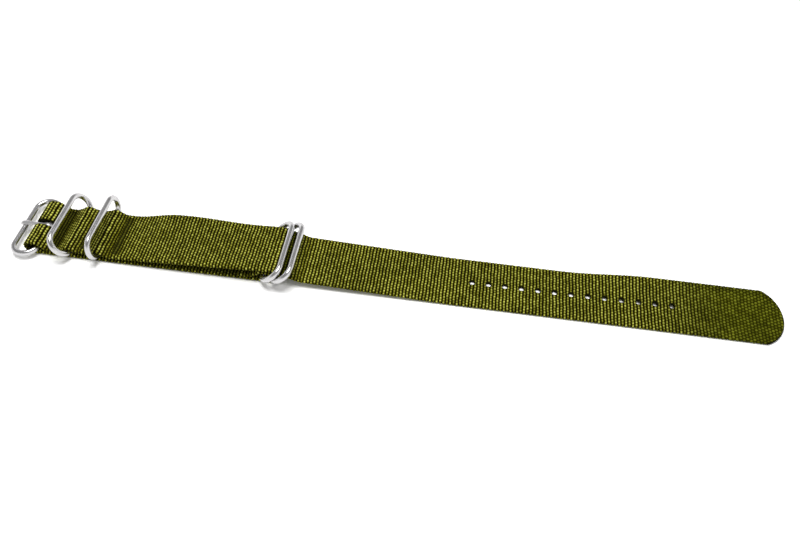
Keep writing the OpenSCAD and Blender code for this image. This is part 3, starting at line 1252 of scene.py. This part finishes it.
@dataclass(frozen=True)
class SteelFinish:
    """Stainless steel wire with fine scratches across it and uneven polish."""

    colour: tuple = (0.74, 0.73, 0.74, 1.0)
    worn: tuple = (0.82, 0.81, 0.81, 1.0)
    drawn: tuple = (9.0, 1.0, 9.0)
    scratch_scale: float = 900.0
    scratch_detail: float = 3.0
    scratch_rough: float = 0.6
    scratch_shade: float = 0.06
    scratch_bump: float = 0.02
    scratch_height: float = 0.000003
    patch_scale: float = 300.0
    patch_shade: float = 0.1

    def make(self, name: str, polish: Polish) -> Material:
        """Builds the nodes.

        Args:
            name: the material's name.
            polish: how smooth it is.

        Returns:
            The material.
        """
        f = NodeFinish(bpy.data.materials.new(name))
        place = f.value("TexCoord", output="Object")
        drawn = f.value("Mapping", {"Vector": place, "Scale": self.drawn})
        scratch = f.noise(drawn, self.scratch_scale, self.scratch_detail, self.scratch_rough)
        uneven = (f.noise(place, self.patch_scale) - 0.5) * self.patch_shade
        relief = {"Strength": self.scratch_bump, "Distance": self.scratch_height, "Height": scratch}
        return f.surface({
            "Base Color": f.blend(scratch, self.colour, self.worn),
            "Metallic": 1.0,
            "Roughness": polish.value + uneven + (scratch - 0.5) * self.scratch_shade,
            "Normal": f.value("Bump", relief),
        })


@dataclass
class Studio:
    """A white table under soft light. These sizes are in metres."""

    floor_half: float = 2.0
    floor_sink: float = 2e-5
    floor_white: float = 0.82
    floor_seen: float = 1.8
    mirrored: float = 0.4
    fade_from: float = 0.24
    fade_to: float = 0.36
    key_power: float = 3.75
    key_place: tuple = (-0.06, 0.05, 0.75)
    key_size: float = 0.42
    sky: float = 0.62
    foot: float = 1.0
    foot_top: float = 0.30
    roof: float = 0.20
    roof_start: float = 0.55

    def build(self) -> None:
        """Makes the floor, lamp and world."""
        bpy.context.scene.view_settings.view_transform = "Standard"
        self._floor()
        self._lamp()
        self._world()

    def _floor(self) -> None:
        """A wide plane that lights the object as a white table does.

        It shows overexposed, keeps the object's shadow, and turns plain white further off.
        """
        mesh = bpy.data.meshes.new("table")
        corners = [(x * self.floor_half, y * self.floor_half, -self.floor_sink)
                   for x, y in ((-1, -1), (1, -1), (1, 1), (-1, 1))]
        mesh.from_pydata(corners, [], [(0, 1, 2, 3)])
        floor = bpy.data.objects.new("table", mesh)
        bpy.context.scene.collection.objects.link(floor)
        f = NodeFinish(bpy.data.materials.new("white_table"))
        rays = f.node("LightPath").outputs
        seen = Value(f, rays["Is Camera Ray"]) + Value(f, rays["Is Glossy Ray"]) * self.mirrored
        colour = f.blend(seen, grey(self.floor_white), grey(self.floor_seen))
        matt = f.value("BsdfDiffuse", {"Color": colour})
        white = f.value("Emission", {"Color": grey(1.0)})
        place = f.value("TexCoord", output="Object")
        off = f.value("VectorMath", {0: place}, "Value", operation="LENGTH")
        bounds = {"Value": off, "From Min": self.fade_from, "From Max": self.fade_to}
        away = f.value("MapRange", bounds, interpolation_type="SMOOTHSTEP")
        shown = Value(f, rays["Is Camera Ray"]) * away
        both = f.value("MixShader", {0: shown, 1: matt, 2: white})
        f.node("OutputMaterial", {"Surface": both})
        mesh.materials.append(f.owner)

    def _lamp(self) -> None:
        """A square soft lamp that faces the middle of the table."""
        light = bpy.data.lights.new("overhead", "AREA")
        light.size = self.key_size
        light.energy = self.key_power
        lamp = bpy.data.objects.new("overhead", light)
        lamp.location = self.key_place
        lamp.rotation_euler = (-Vector(self.key_place)).to_track_quat("-Z", "Y").to_euler()
        bpy.context.scene.collection.objects.link(lamp)

    def _world(self) -> None:
        """White behind everything, and a tent that glows round its foot and is dim overhead."""
        bpy.context.scene.world = bpy.data.worlds.new("tent")
        f = NodeFinish(bpy.context.scene.world)
        ray = f.value("TexCoord", output="Generated")
        height = f.value("SeparateXYZ", {0: ray}, "Z")
        bright, dim = (self.foot,) * 3, (self.roof,) * 3
        stops = [(0.0, bright), (self.foot_top, bright), (self.roof_start, dim), (1.0, dim)]
        tent = f.value("ValToRGB", {"Fac": height}, stops=stops)
        rays = f.node("LightPath").outputs
        strength = self.sky + (1 - self.sky) * Value(f, rays["Is Glossy Ray"])
        light = f.value("Background", {"Color": tent, "Strength": strength})
        plain = f.value("Background", {"Color": grey(1.0)})
        both = f.value("MixShader", {0: rays["Is Camera Ray"], 1: light, 2: plain})
        f.node("OutputWorld", {"Surface": both})


@dataclass(frozen=True)
class PhotoView:
    """The photograph's camera, fitted to the strap's edges, ribs and holes.

    The aim is the middle of the seventh hole on the table, which shows at aim_u, aim_v in the frame of
    800 by 534 pixels, at aim_depth millimetres in front of the camera.
    """

    azimuth: float = 5.28
    elevation: float = 49.80
    roll: float = 2.97
    focal: float = 750.0
    aim_u: float = 570.4
    aim_v: float = 296.7
    aim_depth: float = 272.9
    aim_x: float = 196.3
    frame_w: float = 800.0
    frame_h: float = 534.0
    sensor: float = 36.0
    near: float = 0.01
    far: float = 20.0

    def build(self) -> None:
        """Places the camera."""
        a, e, r = (math.radians(angle) for angle in (self.azimuth, self.elevation, self.roll))
        back = Vector((math.sin(a) * math.cos(e), -math.cos(a) * math.cos(e), math.sin(e)))
        level = (-back).cross(Vector((0, 0, 1))).normalized()
        upright = level.cross(-back)
        right = level * math.cos(r) + upright * math.sin(r)
        up = upright * math.cos(r) - level * math.sin(r)
        aim = Vector((BUCKLE_BAR.x + self.aim_x, 0, 0)) * MM
        depth = self.aim_depth * MM
        cx = (self.aim_u - self.frame_w / 2) / self.focal * depth
        cy = -(self.aim_v - self.frame_h / 2) / self.focal * depth
        data = bpy.data.cameras.new("photo_view")
        data.sensor_width = self.sensor
        data.lens = self.focal * self.sensor / self.frame_w
        data.clip_start, data.clip_end = self.near, self.far
        camera = bpy.data.objects.new("photo_view", data)
        turn = Matrix((right, up, back)).transposed()
        place = Matrix.Translation(aim - right * cx - up * cy + back * depth)
        camera.matrix_world = place @ turn.to_4x4()
        bpy.context.scene.collection.objects.link(camera)
        bpy.context.scene.camera = camera


def main() -> None:
    """Builds the strap, its rings and the studio."""
    logging.basicConfig(level=logging.INFO, format="%(message)s")
    PhotoView().build()
    Studio().build()
    melted = WebbingFinish(crown=(0.20, 0.21, 0.02), body=(0.08, 0.08, 0.006), roughness=0.42)
    Strap().build(WebbingFinish().make("olive_webbing"), melted.make("fused_webbing"))
    satin = SteelFinish().make("satin_wire", Polish.FINE)
    for name, body, lean in (
        ("buckle_frame", "buckle", -91),
        ("keeper_ring_1", "keeper_1", -33),
        ("keeper_ring_2", "keeper_2", -4),
        ("loop_ring_1", "loop_1", 51),
        ("loop_ring_2", "loop_2", 51),
    ):
        WireRing(name, body + "_swing", body, lean).build(satin)
    Tongue().build(SteelFinish().make("bright_tongue", Polish.COARSE))
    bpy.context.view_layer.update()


if __name__ == "__main__":
    main()
